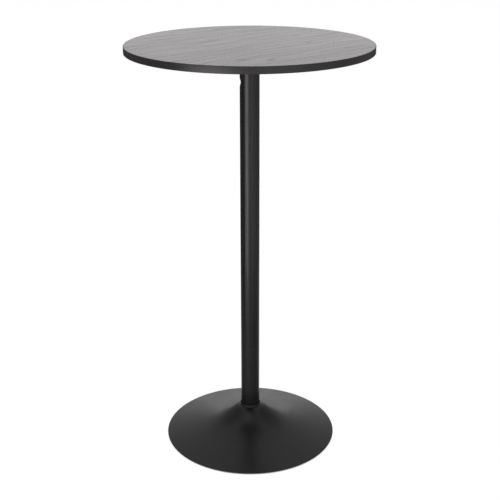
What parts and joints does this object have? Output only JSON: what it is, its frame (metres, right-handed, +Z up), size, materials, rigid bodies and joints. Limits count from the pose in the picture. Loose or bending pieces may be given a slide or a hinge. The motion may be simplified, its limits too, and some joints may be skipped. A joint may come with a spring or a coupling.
{
  "type": "bar table",
  "caption": "Bar-height pedestal table: round wood-grain top on a pressed plate, a straight tube column and a weighted trumpet base on a rubber floor ring.",
  "frame": {"origin": "on the floor, in the middle of the base, under the column's axis", "axes": "+Z up along the column; +Y away from the viewer of the picture; +X to the picture's right, with the lock screw on the -X side"},
  "size_m": [0.5999, 0.6, 1.05],
  "materials": {
    "grain_laminate": "satin wood-grain laminate",
    "backing_sheet": "matt plain laminate",
    "edge_plastic": "satin plastic edging",
    "board": "raw fibreboard",
    "black_coat": "fine satin powder coat",
    "plate_coat": "semi-matt powder coat",
    "collar_plastic": "satin moulded plastic",
    "zinc_steel": "bright zinc plate",
    "dark_steel": "black oxide",
    "bare_steel": "plain turned steel",
    "pan_coat": "thin black primer",
    "cast": "rough cast, primed",
    "floor_rubber": "matt moulded rubber"
  },
  "bodies": {
    "root": {"tabletop_core": "board", "top_laminate": "grain_laminate", "backing_laminate": "backing_sheet", "edge_band": "edge_plastic", "insert_nuts": "zinc_steel", "plate_screws": "zinc_steel", "plate_washers": "zinc_steel", "mounting_plate": "plate_coat", "bracket_stem": "plate_coat", "stem_nut_block": "bare_steel", "stem_lock_screw": "dark_steel", "column_tube": "black_coat", "column_foot_plug": "bare_steel", "collar_ring": "collar_plastic", "base_cover": "black_coat", "base_hub": "bare_steel", "base_pan": "pan_coat", "ballast_ring": "cast", "ballast_screws": "zinc_steel", "base_washer": "zinc_steel", "base_lock_washer": "zinc_steel", "base_bolt": "zinc_steel", "floor_ring": "floor_rubber"}
  },
  "joints": []
}
